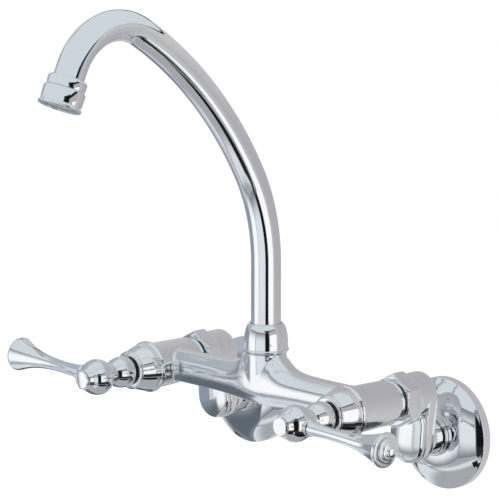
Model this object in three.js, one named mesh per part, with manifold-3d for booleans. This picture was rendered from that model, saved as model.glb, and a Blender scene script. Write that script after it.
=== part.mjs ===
// Wall-mounted two handle kitchen faucet: a bridge body with two quarter-turn valves, a swivelling
// gooseneck spout, and two eccentric swing arms that reach the supply inlets behind round wall flanges.
// Millimetres, +Z up, +X to the right seen from the room, +Y into the wall.
// The origin is on the wall plane, midway between the two supply inlets.

import * as THREE from 'three';
import { mergeVertices } from 'three/addons/utils/BufferGeometryUtils.js';
import Module from 'manifold-3d';

const wasm = await Module();
wasm.setup();

// ---- Layout ----
const valveSpacing = 203.2;      // valve axis to valve axis
const armDrop = 33;              // eccentricity of a swing arm, valve axis to supply axis
const armTurn = 5;               // degrees each arm is swung inwards from straight down
const leverTilt = 2.7;           // degrees both levers are turned clockwise, seen from the room
const columnToWall = 87;         // spout column axis to the wall plane
const seat = 0.3;                // gap that two touching pieces keep
const slip = 0.4;                // radial clearance of a piece that turns or slides on another

// ---- Bridge body ----
const armRadius = 12.2;          // horizontal waterway between a barrel and the column
const bellySag = 3.3;            // how far the underside swells below the column
const bellySpread = 30;          // how far along the bridge that swelling reaches
const neckRadius = 15;           // column under the spout nut
const neckTop = 24.3;            // shoulder under the spout nut, above the valve axis
const neckFlare = 8.5;           // how quickly the column's foot falls to the arms
const waterwayRadius = 6;
const unionPort = 8;             // wider end of the waterway at the union washer
const barrelFrontRadius = 16.8;
const barrelRearRadius = 16;
const barrelFront = 107;         // distances of the barrel's ends from the wall
const barrelRear = 68;
const shoulderRadius = 14.8;     // grooved shoulder behind the barrel
const shoulderLength = 3.6;
const grooveDepth = 0.7;
const tailRadius = 12;           // tail that carries the captive union nut
const tailFlangeRadius = 14.2;
const tailFlangeThickness = 2.6;

// ---- Union joint and swing arm ----
const nutCornerRadius = 20;
const nutTurn = 30;              // degrees from the hexagon's drawn place, to stand on a corner
const nutLength = 13;
const nutLip = 2.4;
const nutChamfer = 1.6;
const unionThreadRadius = 16.2;  // outside thread on the arm's stub
const washerThickness = 1.8;
const armDrumRadius = 17;        // upper end of the arm, behind the nut
const armEndRadius = 16;         // lower end of the arm
const armPlateThickness = 8.6;
const armBack = 33;              // distance of the arm's back face from the wall
const armFront = 49.8;           // distance of the drum's front face from the wall
const armEdge = 0.8;             // rounding of the plate's rim
const bossRadius = 12.7;
const bossHeight = 7;
const bossRound = 5;
const riseRadius = 4;            // waterway that joins the arm's two ends
const plugRadius = 8.6;
const plugDepth = 5;
const plugKey = 3;               // half the width of the plug's hexagon socket

// ---- Supply coupling and wall flange ----
const couplingRadius = 13;
const couplingThreadRadius = 10.4;
const couplingThreadLength = 7;
const inletRadius = 9.4;         // half-inch pipe thread, plain here
const inletDepth = 16;
const inletRecess = 1;           // inlet face behind the wall plane
const flangeRadius = 40.7;
const flangeRim = 7;
const flangeHeight = 15.6;
const flangeNeckRadius = 15.4;
const flangeWall = 1.4;
const flangeFoot = 2.1;          // width of the flat rim that rests on the wall
const neckRingLength = 3.6;
const neckRingRadius = 15;

// ---- Valve and bonnet ----
const bonnetRadius = 18.4;
const bonnetLipRadius = 13.4;
const bonnetLength = 20.7;
const bonnetBand = 2.6;          // straight band at the wide end
const bonnetThreadRadius = 14.4; // outside thread on the barrel's nose
const bonnetThreadLength = 6;
const cartridgeRadius = 11.4;
const cartridgeNoseRadius = 9.4;
const cartridgeNoseLength = 6.5;
const portDepth = 3;             // solid metal between the cartridge and the waterway
const stemRadius = 4;
const stemFlat = 0.9;            // depth of the flat on each side of the stem's drive end
const stemReach = 30.5;          // stem in front of the bonnet
const stemSeat = 10;             // foot of the stem in front of the cartridge's seat
const glideRadius = 10.2;
const glideThickness = 1.4;

// ---- Lever handle ----
const hubCollarRadius = 11;
const hubCollarLength = 7;
const hubNeckRadius = 9.3;
const hubBallRadius = 13;
const hubBallAhead = 29;         // ball centre in front of the hub's back face
const hubFaceRadius = 7;
const hubFaceAhead = 42.6;
const leverReach = 86;           // valve axis to the rim of the lever's end disc
const leverWaist = 4.2;
const leverRoot = 5.3;
const leverDisc = 12.3;
const leverDiscEdge = 2;
const leverBeadRadius = 6.3;
const tipStep = 1.7;             // height of each step of the lever's tip
const tipSpigotRadius = 2.2;     // screwed end of the tip inside the lever
const tipSpigotLength = 4.5;
const screwHeadRadius = 4.2;
const screwRadius = 2;
const screwLength = 14;
const buttonThickness = 1.8;
const buttonPlug = 2.6;
const hubFloor = 3.5;            // metal between the screw's seat and the stem's end

// ---- Spout ----
const tubeRadius = 10.8;
const tubeBore = 9.4;
const spoutStraight = 89;        // straight rise, measured from the valve axis
const rearBend = { radius: 140, angle: 29 };
const upperBend = { radius: 295, angle: 29.3 };
const crownBend = { radius: 43.75, angle: 97 };
const spoutTail = 12.2;          // straight end of the tube after the crown
const nutBaseRadius = 16.3;
const nutHeight = 20.7;
const nutRoof = 4;
const neckThreadRadius = 13.4;
const neckThreadLength = 11.7;
const shankRadius = 11.1;
const shankLength = 30;
const shankBore = 7.5;
const shankFlangeRadius = 13.1;
const shankFlangeThickness = 2.6;
const sealSection = 0.95;        // half the thickness of an O-ring
const sealGroove = 1.8;          // depth of its groove
const sealInset = 6;             // lower O-ring above the shank's foot
const sealPitch = 8;             // between the two O-rings

// ---- Outlet ----
const outletCollarRadius = 13.8;
const outletCollarGrip = 5;      // length of collar over the tube
const outletCollarSkirt = 2.6;   // length of collar past the tube's end
const outletThreadRadius = 12.6;
const outletThreadLength = 5;
const aeratorRadius = 14.8;
const aeratorLength = 13.3;
const aeratorBead = 0.7;
const aeratorWall = 1.6;
const insertThickness = 4.6;
const insertHole = 1.25;
const insertPitch = 4.2;

// ---- Materials ----
const finish = (color, metalness, roughness) =>
  new THREE.MeshStandardMaterial({ color, metalness, roughness });
const chrome = finish('#d7dade', 1, 0.06);
const brass = finish('#c8a45a', 1, 0.3);
const steel = finish('#b9bcc0', 1, 0.25);
const rubber = finish('#161617', 0, 0.7);
const nylon = finish('#1c1d1f', 0, 0.45);
const plastic = finish('#d9dbdc', 0, 0.4);

// ---- Facets ----
const fine = 24;                 // sides of the widest turned pieces
const medium = 16;
const coarse = 12;               // small pieces, and those that nothing shows
const tubeSides = 14;            // spout tube and what is fitted on its end

// ---- Stations along a valve axis, as distances from the wall ----
const valveX = valveSpacing / 2;
const nutLow = armFront + seat;
const nutHigh = nutLow + nutLength;
const tailFlangeFront = nutHigh - nutLip - seat;
const tailEnd = tailFlangeFront - tailFlangeThickness;
const stubEnd = tailEnd - 2 * seat - washerThickness;
const shoulderRear = barrelRear - shoulderLength;
const bonnetRear = barrelFront + seat;
const bonnetFront = bonnetRear + bonnetLength;
const glideFront = bonnetFront + seat + glideThickness;
const hubRear = glideFront + seat;
const stemEnd = bonnetFront + stemReach;
const screwSeat = stemEnd + seat + hubFloor;
const faceFront = hubRear + hubFaceAhead;

const radians = THREE.MathUtils.degToRad;
const faucet = new THREE.Group();

// ---- Solid tools ----

// Shares the vertices of a closed geometry, drops collapsed triangles and turns its faces outwards.
function welded(geometry) {
  geometry.deleteAttribute('normal');
  geometry.deleteAttribute('uv');
  const merged = mergeVertices(geometry, 1e-4);
  const position = merged.getAttribute('position');
  const kept = [];
  let volume = 0;
  const corner = [new THREE.Vector3(), new THREE.Vector3(), new THREE.Vector3()];
  for (let i = 0; i < merged.index.count; i += 3) {
    const [a, b, c] = [0, 1, 2].map((k) => merged.index.getX(i + k));
    if (a === b || b === c || c === a) continue;
    kept.push([a, b, c]);
    [a, b, c].forEach((v, k) => corner[k].fromBufferAttribute(position, v));
    volume += corner[0].dot(corner[1].cross(corner[2]));
  }
  const faces = volume < 0 ? kept.map(([a, b, c]) => [a, c, b]) : kept;
  const result = new THREE.BufferGeometry();
  result.setAttribute('position', position);
  result.setIndex(faces.flat());
  return result;
}

function solid(geometry) {
  const closed = welded(geometry);
  const vertProperties = new Float32Array(closed.getAttribute('position').array);
  const triVerts = new Uint32Array(closed.index.array);
  return new wasm.Manifold(new wasm.Mesh({ numProp: 3, vertProperties, triVerts }));
}

const join = (first, ...rest) => rest.reduce((whole, part) => whole.add(part), first);
const cut = (first, ...rest) => rest.reduce((whole, part) => whole.subtract(part), first);

function geometryOf(shape) {
  const mesh = shape.getMesh();
  const geometry = new THREE.BufferGeometry();
  geometry.setAttribute('position', new THREE.BufferAttribute(new Float32Array(mesh.vertProperties), 3));
  geometry.setIndex(new THREE.BufferAttribute(new Uint32Array(mesh.triVerts), 1));
  return geometry;
}

function add(group, name, shape, material) {
  const geometry = shape.isBufferGeometry ? welded(shape) : geometryOf(shape);
  geometry.computeVertexNormals();
  const mesh = new THREE.Mesh(geometry, material);
  mesh.name = name;
  group.add(mesh);
  return mesh;
}

// A closed profile of [radius, height] points turned about the local Z axis.
function turned(profile, segments = coarse) {
  const points = profile.map(([radius, height]) => new THREE.Vector2(Math.max(radius, 0), height));
  return new THREE.LatheGeometry(points, segments).rotateX(Math.PI / 2);
}

// The same, for a ring or sleeve whose profile closes on itself.
const turnedRing = (profile, segments = coarse) => turned([...profile, profile[0]], segments);

const disc = (radius, low, high, segments = coarse) =>
  turned([[0, low], [radius, low], [radius, high], [0, high]], segments);

const sleeve = (outer, inner, low, high, segments = coarse) =>
  turnedRing([[inner, low], [outer, low], [outer, high], [inner, high]], segments);

// Points of a quarter or part circle in a profile, from one angle to another, in degrees.
function roundCorner(centreRadius, centreHeight, radius, from, to, steps = 4) {
  return Array.from({ length: steps + 1 }, (_, i) => {
    const angle = radians(from + ((to - from) * i) / steps);
    return [centreRadius + radius * Math.cos(angle), centreHeight + radius * Math.sin(angle)];
  });
}

function hexPrism(cornerRadius, low, high, turn = 0) {
  const shape = new THREE.Shape(
    Array.from({ length: 6 }, (_, i) => {
      const angle = radians(60 * i + turn);
      return new THREE.Vector2(cornerRadius * Math.cos(angle), cornerRadius * Math.sin(angle));
    })
  );
  return new THREE.ExtrudeGeometry(shape, { depth: high - low, bevelEnabled: false }).translate(0, 0, low);
}

// ---- Bridge body ----

// Half height of the bridge above and below the valve axis, and its half depth, at a distance x from
// the column.
const swelling = (x) => Math.exp(-((x / bellySpread) ** 2));
const shoulderFall = (x) => Math.exp(-Math.max(Math.abs(x) - neckRadius, 0) / neckFlare);
const bridgeTop = (x) => armRadius + (neckTop - armRadius) * shoulderFall(x);
const bridgeBottom = (x) => armRadius + bellySag * swelling(x);
const bridgeDepth = (x) => armRadius + (neckRadius - armRadius) * swelling(x);

// Oval sections strung along X and closed at both ends.
function bridgeLoft(halfLength, stations = 17, around = 14) {
  const vertices = [];
  const faces = [];
  for (let i = 0; i < stations; i += 1) {
    const share = (2 * i) / (stations - 1) - 1;
    const x = halfLength * Math.sign(share) * Math.abs(share) ** 1.7;
    for (let j = 0; j < around; j += 1) {
      const angle = (2 * Math.PI * j) / around;
      const rise = Math.sin(angle) > 0 ? bridgeTop(x) : bridgeBottom(x);
      vertices.push(x, bridgeDepth(x) * Math.cos(angle), rise * Math.sin(angle));
    }
  }
  for (let i = 0; i < stations - 1; i += 1) {
    for (let j = 0; j < around; j += 1) {
      const [a, b] = [i * around + j, i * around + ((j + 1) % around)];
      faces.push(a, b, a + around, b, b + around, a + around);
    }
  }
  for (let j = 1; j < around - 1; j += 1) {
    const last = (stations - 1) * around;
    faces.push(0, j + 1, j, last, last + j, last + j + 1);
  }
  const geometry = new THREE.BufferGeometry();
  geometry.setAttribute('position', new THREE.Float32BufferAttribute(vertices, 3));
  geometry.setIndex(faces);
  return geometry;
}

const cartridgeSeat = columnToWall - waterwayRadius - portDepth;

// A barrel's outside, along its own axis from the wall towards the room.
function barrelOutside() {
  const groove = shoulderLength / 4;
  return turned([
    [0, tailEnd],
    [tailFlangeRadius, tailEnd],
    [tailFlangeRadius, tailFlangeFront],
    [tailRadius, tailFlangeFront],
    [tailRadius, shoulderRear],
    [shoulderRadius, shoulderRear],
    [shoulderRadius, shoulderRear + groove],
    [shoulderRadius - grooveDepth, shoulderRear + 2 * groove],
    [shoulderRadius, shoulderRear + 3 * groove],
    [shoulderRadius, barrelRear],
    [barrelRearRadius - 0.6, barrelRear],
    [barrelRearRadius, barrelRear + 0.8],
    [barrelFrontRadius, barrelFront],
    [bonnetThreadRadius, barrelFront],
    [bonnetThreadRadius, barrelFront + bonnetThreadLength],
    [0, barrelFront + bonnetThreadLength],
  ], medium);
}

// The passage through a barrel: a wide bore for the cartridge, then the port behind its seat.
function barrelPassage() {
  const bore = cartridgeRadius + slip;
  return turned([
    [0, tailEnd - 1],
    [unionPort, tailEnd - 1],
    [unionPort, cartridgeSeat - portDepth],
    [waterwayRadius, cartridgeSeat - portDepth + 1],
    [waterwayRadius, cartridgeSeat],
    [bore, cartridgeSeat],
    [bore, barrelFront + bonnetThreadLength + 1],
    [0, barrelFront + bonnetThreadLength + 1],
  ]);
}

// Turns a piece made along +Z so that +Z points from the wall into the room.
const roomward = (geometry) => geometry.rotateX(Math.PI / 2);

function faucetBody() {
  const neck = turned([
    [0, 0],
    [neckRadius, 0],
    [neckRadius, neckTop],
    [neckThreadRadius, neckTop],
    [neckThreadRadius, neckTop + neckThreadLength],
    [0, neckTop + neckThreadLength],
  ], medium);
  const neckBore = disc(shankRadius + slip, armRadius - 6, neckTop + neckThreadLength + 1, fine);
  const mixing = disc(waterwayRadius, 0, armRadius);
  const waterway = disc(waterwayRadius, -valveX, valveX).rotateY(Math.PI / 2);
  let body = join(solid(bridgeLoft(valveX)), solid(neck));
  for (const side of [-1, 1]) {
    const place = (geometry) => solid(roomward(geometry).translate(side * valveX, columnToWall, 0));
    body = join(body, place(barrelOutside()));
  }
  body = cut(body, solid(neckBore), solid(mixing), solid(waterway));
  for (const side of [-1, 1]) {
    body = cut(body, solid(roomward(barrelPassage()).translate(side * valveX, columnToWall, 0)));
  }
  return body;
}

const bridge = new THREE.Group();
bridge.position.set(0, -columnToWall, armDrop);
faucet.add(bridge);
add(bridge, 'faucet_body', faucetBody(), chrome);

// ---- Spout ----

// The spout's centre line in the plane X = 0: a straight rise, three bends forward, a straight end.
class SpoutPath extends THREE.Curve {
  constructor(start) {
    super();
    this.pieces = [];
    let heading = 0;
    let [y, z] = [0, start];
    const straight = (length) => {
      const [fromY, fromZ] = [y, z];
      const along = [-Math.sin(heading) * length, Math.cos(heading) * length];
      const at = (t) => [fromY + along[0] * t, fromZ + along[1] * t];
      this.pieces.push({ length, at });
      [y, z] = at(1);
    };
    const bend = ({ radius, angle }) => {
      const turn = radians(angle);
      const from = heading;
      const centre = [y - Math.cos(from) * radius, z - Math.sin(from) * radius];
      const at = (t) => {
        const u = from + turn * t;
        return [centre[0] + Math.cos(u) * radius, centre[1] + Math.sin(u) * radius];
      };
      this.pieces.push({ length: radius * turn, at });
      heading += turn;
      [y, z] = at(1);
    };
    straight(spoutStraight - start);
    bend(rearBend);
    bend(upperBend);
    bend(crownBend);
    straight(spoutTail);
    this.total = this.pieces.reduce((sum, piece) => sum + piece.length, 0);
    this.end = { y, z, heading };
  }

  getPoint(t, target = new THREE.Vector3()) {
    let left = t * this.total;
    let piece = this.pieces[0];
    for (piece of this.pieces) {
      if (left <= piece.length || piece === this.pieces.at(-1)) break;
      left -= piece.length;
    }
    const [y, z] = piece.at(Math.min(left / piece.length, 1));
    return target.set(0, y, z);
  }
}

const shankTop = neckTop + neckThreadLength + seat + shankFlangeThickness;
const spoutPath = new SpoutPath(shankTop + seat);

function spoutTube() {
  const section = new THREE.Shape().absarc(0, 0, tubeRadius, 0, 2 * Math.PI);
  section.holes.push(new THREE.Path().absarc(0, 0, tubeBore, 0, 2 * Math.PI));
  return new THREE.ExtrudeGeometry(section, {
    steps: 22,
    curveSegments: tubeSides / 2,
    bevelEnabled: false,
    extrudePath: spoutPath,
  });
}
add(bridge, 'spout_tube', spoutTube(), chrome);

// The shank turns in the column: a flange on top of the neck and two seals in grooves below it.
const shankBottom = shankTop - shankFlangeThickness - shankLength;
const sealHeights = [shankBottom + sealInset, shankBottom + sealInset + sealPitch];
const sealHalfWidth = sealSection + 0.25;

function spoutShank() {
  const outside = [];
  for (const height of sealHeights) {
    outside.push(
      [shankRadius, height - sealHalfWidth],
      [shankRadius - sealGroove, height - sealHalfWidth],
      [shankRadius - sealGroove, height + sealHalfWidth],
      [shankRadius, height + sealHalfWidth]
    );
  }
  return turnedRing([
    [shankBore, shankBottom],
    [shankRadius, shankBottom],
    ...outside,
    [shankRadius, shankTop - shankFlangeThickness],
    [shankFlangeRadius, shankTop - shankFlangeThickness],
    [shankFlangeRadius, shankTop],
    [shankBore, shankTop],
  ]);
}
add(bridge, 'spout_shank', spoutShank(), brass);

function sealRing(radius, height) {
  return new THREE.TorusGeometry(radius, sealSection, 5, coarse).translate(0, 0, height);
}
const sealRadius = shankRadius - sealGroove + sealSection + 0.1;
add(bridge, 'spout_lower_seal', sealRing(sealRadius, sealHeights[0]), rubber);
add(bridge, 'spout_upper_seal', sealRing(sealRadius, sealHeights[1]), rubber);

const nutBottom = neckTop + seat;
const nutTop = nutBottom + nutHeight;
const glideLow = shankTop + seat;
add(bridge, 'spout_glide_washer',
  sleeve(shankFlangeRadius, tubeRadius + slip, glideLow, nutTop - nutRoof - seat), nylon);

function spoutNut() {
  const crown = nutTop - 0.6;
  const rise = nutHeight - 5;
  const overhang = nutBaseRadius - tubeRadius - 1.3;
  const dome = Array.from({ length: 6 }, (_, i) => {
    const angle = radians(10 + 14 * i);
    return [tubeRadius + 1 + overhang * Math.cos(angle), crown - rise + rise * Math.sin(angle)];
  });
  return turnedRing([
    [neckThreadRadius + slip, nutBottom],
    [nutBaseRadius - 0.5, nutBottom],
    [nutBaseRadius + 0.4, nutBottom + 0.8],
    [nutBaseRadius + 0.4, nutBottom + 1.8],
    [nutBaseRadius - 0.4, nutBottom + 2.6],
    ...dome,
    [tubeRadius + 1, nutTop],
    [tubeRadius + slip, nutTop],
    [tubeRadius + slip, nutTop - nutRoof],
    [neckThreadRadius + slip, nutTop - nutRoof],
  ], medium);
}
add(bridge, 'spout_nut', spoutNut(), chrome);

// ---- Outlet: collar on the tube's end, screwed housing, seal and aerator insert ----
const outlet = new THREE.Group();
outlet.position.set(0, spoutPath.end.y, spoutPath.end.z);
outlet.rotation.x = spoutPath.end.heading;
bridge.add(outlet);

const threadTop = outletCollarSkirt + outletThreadLength;
add(outlet, 'outlet_collar', turnedRing([
  [tubeRadius + seat, -outletCollarGrip],
  [outletCollarRadius - 1.6, -outletCollarGrip],
  [outletCollarRadius - 0.3, -outletCollarGrip + 1],
  [outletCollarRadius, -outletCollarGrip + 2.4],
  [outletCollarRadius, -0.6],
  [outletCollarRadius - 0.5, outletCollarSkirt],
  [outletThreadRadius, outletCollarSkirt],
  [outletThreadRadius, threadTop],
  [tubeBore, threadTop],
  [tubeBore, seat],
  [tubeRadius + seat, seat],
], tubeSides), chrome);

const housingLow = outletCollarSkirt + seat;
const housingHigh = housingLow + aeratorLength;
const housingBore = outletThreadRadius + seat;
const housingMouth = housingBore - 1.4;
add(outlet, 'aerator_housing', turnedRing([
  [housingBore, housingLow],
  [aeratorRadius - 0.8, housingLow],
  [aeratorRadius, housingLow + 0.9],
  [aeratorRadius, housingLow + 0.45 * aeratorLength],
  [aeratorRadius - 0.7, housingHigh - 3],
  [aeratorRadius - 0.4, housingHigh - 2.4],
  [aeratorRadius + aeratorBead, housingHigh - 1.7],
  [aeratorRadius + aeratorBead, housingHigh - 0.6],
  [aeratorRadius + aeratorBead - 0.6, housingHigh],
  [housingMouth, housingHigh],
  [housingMouth, housingHigh - aeratorWall],
  [housingBore, housingHigh - aeratorWall],
], tubeSides), chrome);

const insertHigh = housingHigh - aeratorWall - seat;
const insertLow = insertHigh - insertThickness;
const insertRadius = housingBore - seat;
add(outlet, 'outlet_washer',
  sleeve(insertRadius, tubeBore - 0.6, threadTop + seat, insertLow - seat, tubeSides), rubber);

// The insert is pierced by holes on a hexagonal grid.
function aeratorInsert() {
  let insert = solid(disc(insertRadius, insertLow, insertHigh, tubeSides));
  const rings = 2;
  for (let q = -rings; q <= rings; q += 1) {
    for (let r = Math.max(-rings, -q - rings); r <= Math.min(rings, -q + rings); r += 1) {
      const x = insertPitch * (q + r / 2);
      const y = insertPitch * r * Math.sqrt(0.75);
      insert = cut(insert, solid(disc(insertHole, insertLow - 1, insertHigh + 1, 6).translate(x, y, 0)));
    }
  }
  return insert;
}
add(outlet, 'aerator_insert', aeratorInsert(), plastic);

// ---- Union joint, swing arm, supply coupling and wall flange of one side ----
// Round-ended plate from the valve axis down to the supply axis.
function armPlate(low, high) {
  const shape = new THREE.Shape();
  shape.absarc(0, 0, armDrumRadius, 0, Math.PI, false);
  shape.absarc(0, -armDrop, armEndRadius, Math.PI, 2 * Math.PI, false);
  return new THREE.ExtrudeGeometry(shape, {
    depth: high - low - 2 * armEdge,
    bevelThickness: armEdge,
    bevelSize: armEdge,
    bevelOffset: -armEdge,
    bevelSegments: 1,
    curveSegments: 8,
  }).translate(0, 0, low + armEdge);
}

// The arm is drawn with +Z from the wall into the room and Y up, and turned into place by its group.
function swingArm() {
  const plateFront = armBack + armPlateThickness;
  const bossTop = plateFront + bossHeight;
  const lowered = (geometry) => solid(geometry.translate(0, -armDrop, 0));
  const plate = solid(armPlate(armBack, plateFront));
  const drum = solid(turned([
    [0, plateFront - armEdge],
    [armDrumRadius, plateFront - armEdge],
    [armDrumRadius, armFront - armEdge],
    [armDrumRadius - armEdge, armFront],
    [0, armFront],
  ]));
  const stub = solid(disc(unionThreadRadius, plateFront, stubEnd));
  const boss = lowered(turned([
    [0, plateFront - armEdge],
    [bossRadius, plateFront - armEdge],
    ...roundCorner(bossRadius - bossRound, bossTop - bossRound, bossRound, 0, 90, 3),
    [0, bossTop],
  ]));
  const mouth = solid(disc(unionPort, armBack + plugDepth + 3, stubEnd + 1));
  const plugHole = solid(disc(plugRadius + seat, armBack - 1, armBack + plugDepth + seat));
  const plugDrill = solid(disc(waterwayRadius, armBack, armFront));
  const inletFloor = armBack + couplingThreadLength + seat;
  const inlet = lowered(disc(couplingThreadRadius + seat, armBack - 1, inletFloor));
  const rise = solid(disc(riseRadius, 0, armDrop).rotateX(Math.PI / 2)
    .translate(0, 0, plateFront - riseRadius / 2));
  const well = lowered(disc(waterwayRadius, armBack, plateFront + riseRadius / 2));
  return cut(join(plate, drum, stub, boss), mouth, plugHole, plugDrill, inlet, rise, well);
}

// Hexagon union nut, its corners turned down at both ends.
function unionNut() {
  const [low, high] = [nutLow, nutHigh];
  const hex = solid(hexPrism(nutCornerRadius, low, high, nutTurn));
  const flat = nutCornerRadius * Math.cos(radians(30));
  const envelope = solid(turned([
    [0, low],
    [flat, low],
    [nutCornerRadius + 0.2, low + nutChamfer],
    [nutCornerRadius + 0.2, high - nutChamfer],
    [flat, high],
    [0, high],
  ], fine));
  const thread = solid(disc(unionThreadRadius + seat, low - 1, high - nutLip, fine));
  const throat = solid(disc(tailRadius + slip, low, high + 1, medium));
  return cut(hex.intersect(envelope), thread, throat);
}

function wallFlange() {
  const bore = couplingRadius + slip;
  const slope = (t) => [
    flangeRadius - 1.4 - (flangeRadius - 1.4 - flangeNeckRadius) * t,
    flangeRim + 0.8 + (flangeHeight - flangeRim - 0.8) * Math.sin((Math.PI / 2) * t) ** 1.15,
  ];
  const outer = Array.from({ length: 5 }, (_, i) => slope(i / 4));
  const hollow = outer.slice(1, -1).reverse()
    .map(([radius, height]) => [radius - 0.4, height - flangeWall - 0.3]);
  return turnedRing([
    [flangeRadius - flangeFoot, 0],
    [flangeRadius - 0.4, 0],
    [flangeRadius, 0.4],
    [flangeRadius, flangeRim],
    ...outer,
    [bore, flangeHeight],
    [bore, flangeHeight - flangeWall - 0.6],
    ...hollow,
    [flangeRadius - 1.8, flangeRim - 1],
  ], fine);
}

function supplyCoupling() {
  const chamber = 4.6;
  return turnedRing([
    [inletRadius, inletRecess],
    [couplingRadius - 0.5, inletRecess],
    [couplingRadius, inletRecess + 0.6],
    [couplingRadius, armBack - seat],
    [couplingThreadRadius, armBack - seat],
    [couplingThreadRadius, armBack + couplingThreadLength],
    [chamber, armBack + couplingThreadLength],
    [chamber, inletRecess + inletDepth + 2],
    [inletRadius, inletRecess + inletDepth],
  ]);
}

// ---- Valve and handle of one side ----
function bonnet() {
  const wide = bonnetRear + bonnetBand;
  const swell = Array.from({ length: 5 }, (_, i) => {
    const t = i / 4;
    const radius = bonnetRadius - (bonnetRadius - bonnetLipRadius) * (1 - Math.cos((Math.PI / 2) * t));
    return [radius, wide + (bonnetFront - 3 - wide) * (0.35 * t + 0.65 * Math.sin((Math.PI / 2) * t))];
  });
  const threadFloor = barrelFront + bonnetThreadLength + seat;
  return turnedRing([
    [bonnetThreadRadius + seat, bonnetRear],
    [bonnetRadius - 0.6, bonnetRear],
    [bonnetRadius, bonnetRear + 0.6],
    ...swell,
    [bonnetLipRadius - 0.7, bonnetFront - 2.4],
    [bonnetLipRadius, bonnetFront - 1.6],
    [bonnetLipRadius - 0.2, bonnetFront - 0.4],
    [bonnetLipRadius - 1, bonnetFront],
    [stemRadius + slip, bonnetFront],
    [stemRadius + slip, bonnetFront - 4],
    [cartridgeNoseRadius + seat, bonnetFront - 4],
    [cartridgeNoseRadius + seat, threadFloor],
    [bonnetThreadRadius + seat, threadFloor],
  ], medium);
}

function cartridgeBody() {
  const low = cartridgeSeat + seat;
  const shoulder = barrelFront + bonnetThreadLength;
  const stemHole = stemRadius + slip;
  return turnedRing([
    [waterwayRadius - 0.5, low],
    [cartridgeRadius - 0.8, low],
    [cartridgeRadius - 0.8, low + 4],
    [cartridgeRadius, low + 5],
    [cartridgeRadius, shoulder],
    [cartridgeNoseRadius, shoulder],
    [cartridgeNoseRadius, shoulder + cartridgeNoseLength],
    [stemHole, shoulder + cartridgeNoseLength],
    [stemHole, low + 6],
    [waterwayRadius - 0.5, low + 4],
  ]);
}

function valveStem() {
  const low = cartridgeSeat + stemSeat;
  const round = solid(turned([
    [0, low],
    [stemRadius, low],
    [stemRadius, stemEnd - 0.6],
    [stemRadius - 0.6, stemEnd],
    [0, stemEnd],
  ], 12));
  const driveLength = stemEnd - hubRear;
  const wideBox = (side) => solid(new THREE.BoxGeometry(4, 4 * stemRadius, driveLength)
    .translate(side * (stemRadius - stemFlat + 2), 0, stemEnd - driveLength / 2 + 1));
  const tapped = solid(disc(screwRadius + seat, screwSeat - screwLength - 1, stemEnd + 1, 12));
  return cut(round, wideBox(1), wideBox(-1), tapped);
}

// Hub and arm are one casting: a turned hub along the valve axis and a turned arm along +X.
function leverHandle() {
  const ball = hubRear + hubBallAhead;
  const neckLow = hubRear + hubCollarLength;
  const ballStart = Math.asin(hubNeckRadius / hubBallRadius);
  const ballEnd = Math.asin((hubFaceRadius + 1.4) / hubBallRadius);
  const round = Array.from({ length: 6 }, (_, i) => {
    const angle = ballStart + ((Math.PI - ballEnd - ballStart) * i) / 5;
    return [hubBallRadius * Math.sin(angle), ball - hubBallRadius * Math.cos(angle)];
  });
  const hub = solid(turned([
    [0, hubRear],
    [hubCollarRadius - 0.8, hubRear],
    [hubCollarRadius, hubRear + 1],
    [hubCollarRadius, neckLow - 1.4],
    [hubCollarRadius - 1, neckLow - 0.4],
    [hubNeckRadius, neckLow],
    ...round,
    [hubFaceRadius + 0.6, faceFront - 1.2],
    [hubFaceRadius, faceFront],
    [0, faceFront],
  ], medium));
  const waistAt = 0.38 * leverReach;
  const flare = (t) => leverWaist + (leverDisc - leverWaist) * t ** 2.6;
  const arm = solid(turned([
    [0, hubNeckRadius],
    [leverBeadRadius - 1, hubNeckRadius],
    [leverBeadRadius - 1, hubBallRadius + 0.6],
    [leverBeadRadius, hubBallRadius + 1.2],
    [leverBeadRadius, hubBallRadius + 2.4],
    [leverRoot, hubBallRadius + 3.2],
    [leverRoot, hubBallRadius + 4.4],
    [leverWaist + 0.3, 0.75 * waistAt],
    ...Array.from({ length: 6 }, (_, i) => {
      const t = i / 5;
      return [flare(t), waistAt + (leverReach - leverDiscEdge - waistAt) * t];
    }),
    [leverDisc, leverReach - 0.7],
    [leverDisc - 0.7, leverReach],
    [0, leverReach],
  ], coarse).rotateY(Math.PI / 2).translate(0, 0, ball));
  const socket = solid(disc(stemRadius + seat, hubRear - 1, stemEnd + seat, 12));
  const drive = [-1, 1].map((side) => solid(new THREE.BoxGeometry(4, 4 * stemRadius, stemEnd - hubRear)
    .translate(side * (stemRadius - stemFlat + seat + 2), 0, (stemEnd + hubRear) / 2 + 1)));
  const keyed = cut(socket, ...drive);
  const screwHole = solid(disc(screwRadius + seat, stemEnd, screwSeat + 1, 12));
  const headRoom = solid(disc(screwHeadRadius + seat, screwSeat, faceFront + 1, 16));
  const tipFloor = leverReach - tipSpigotLength - 1.5;
  const tipHole = solid(disc(tipSpigotRadius + seat, tipFloor, leverReach + 1)
    .rotateY(Math.PI / 2).translate(0, 0, ball));
  return { shape: cut(join(hub, arm), keyed, screwHole, headRoom, tipHole), ball };
}

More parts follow.
